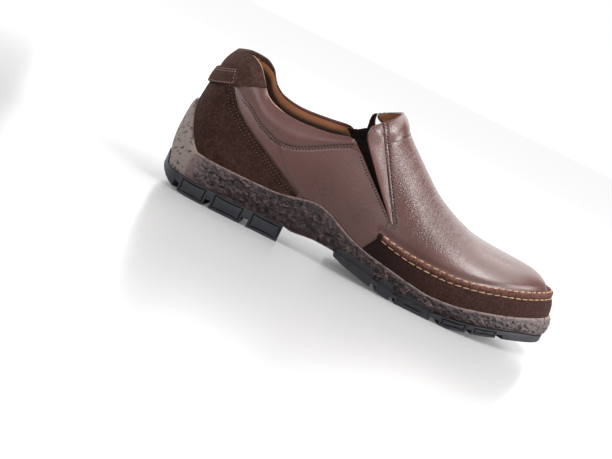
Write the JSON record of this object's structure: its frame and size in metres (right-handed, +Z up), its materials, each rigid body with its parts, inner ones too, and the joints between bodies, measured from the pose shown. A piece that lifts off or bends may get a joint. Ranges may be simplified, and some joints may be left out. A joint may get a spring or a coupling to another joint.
{
  "type": "slip-on leather shoe",
  "caption": "Right-foot slip-on leather shoe with a raised moccasin toe seam, suede toe band and heel panels, elastic side gores and a thick lugged rubber sole.",
  "frame": {"origin": "middle of the sole's outline, on the floor", "axes": "+X to the toe, +Y to the inner side of the foot, +Z up"},
  "size_m": [0.304, 0.1102, 0.117],
  "materials": {
    "brown_leather": "smooth grained leather with a soft sheen",
    "chocolate_suede": "matt suede",
    "dark_suede": "matt dark suede",
    "black_elastic": "ribbed elastic webbing",
    "tan_footbed": "smooth lining leather",
    "sole_rubber": "matt moulded rubber with a rocky texture",
    "tread_rubber": "matt dark rubber"
  },
  "bodies": {
    "root": {"upper": "brown_leather", "flap_outer": "brown_leather", "flap_inner": "brown_leather", "gore_outer": "black_elastic", "gore_inner": "black_elastic", "mudguard": "chocolate_suede", "apron_seam": "chocolate_suede", "heel_counter": "dark_suede", "heel_patch": "dark_suede", "heel_loop": "dark_suede", "insole": "tan_footbed", "midsole": "sole_rubber", "outsole_heel": "tread_rubber", "outsole_forefoot": "tread_rubber"}
  },
  "joints": []
}
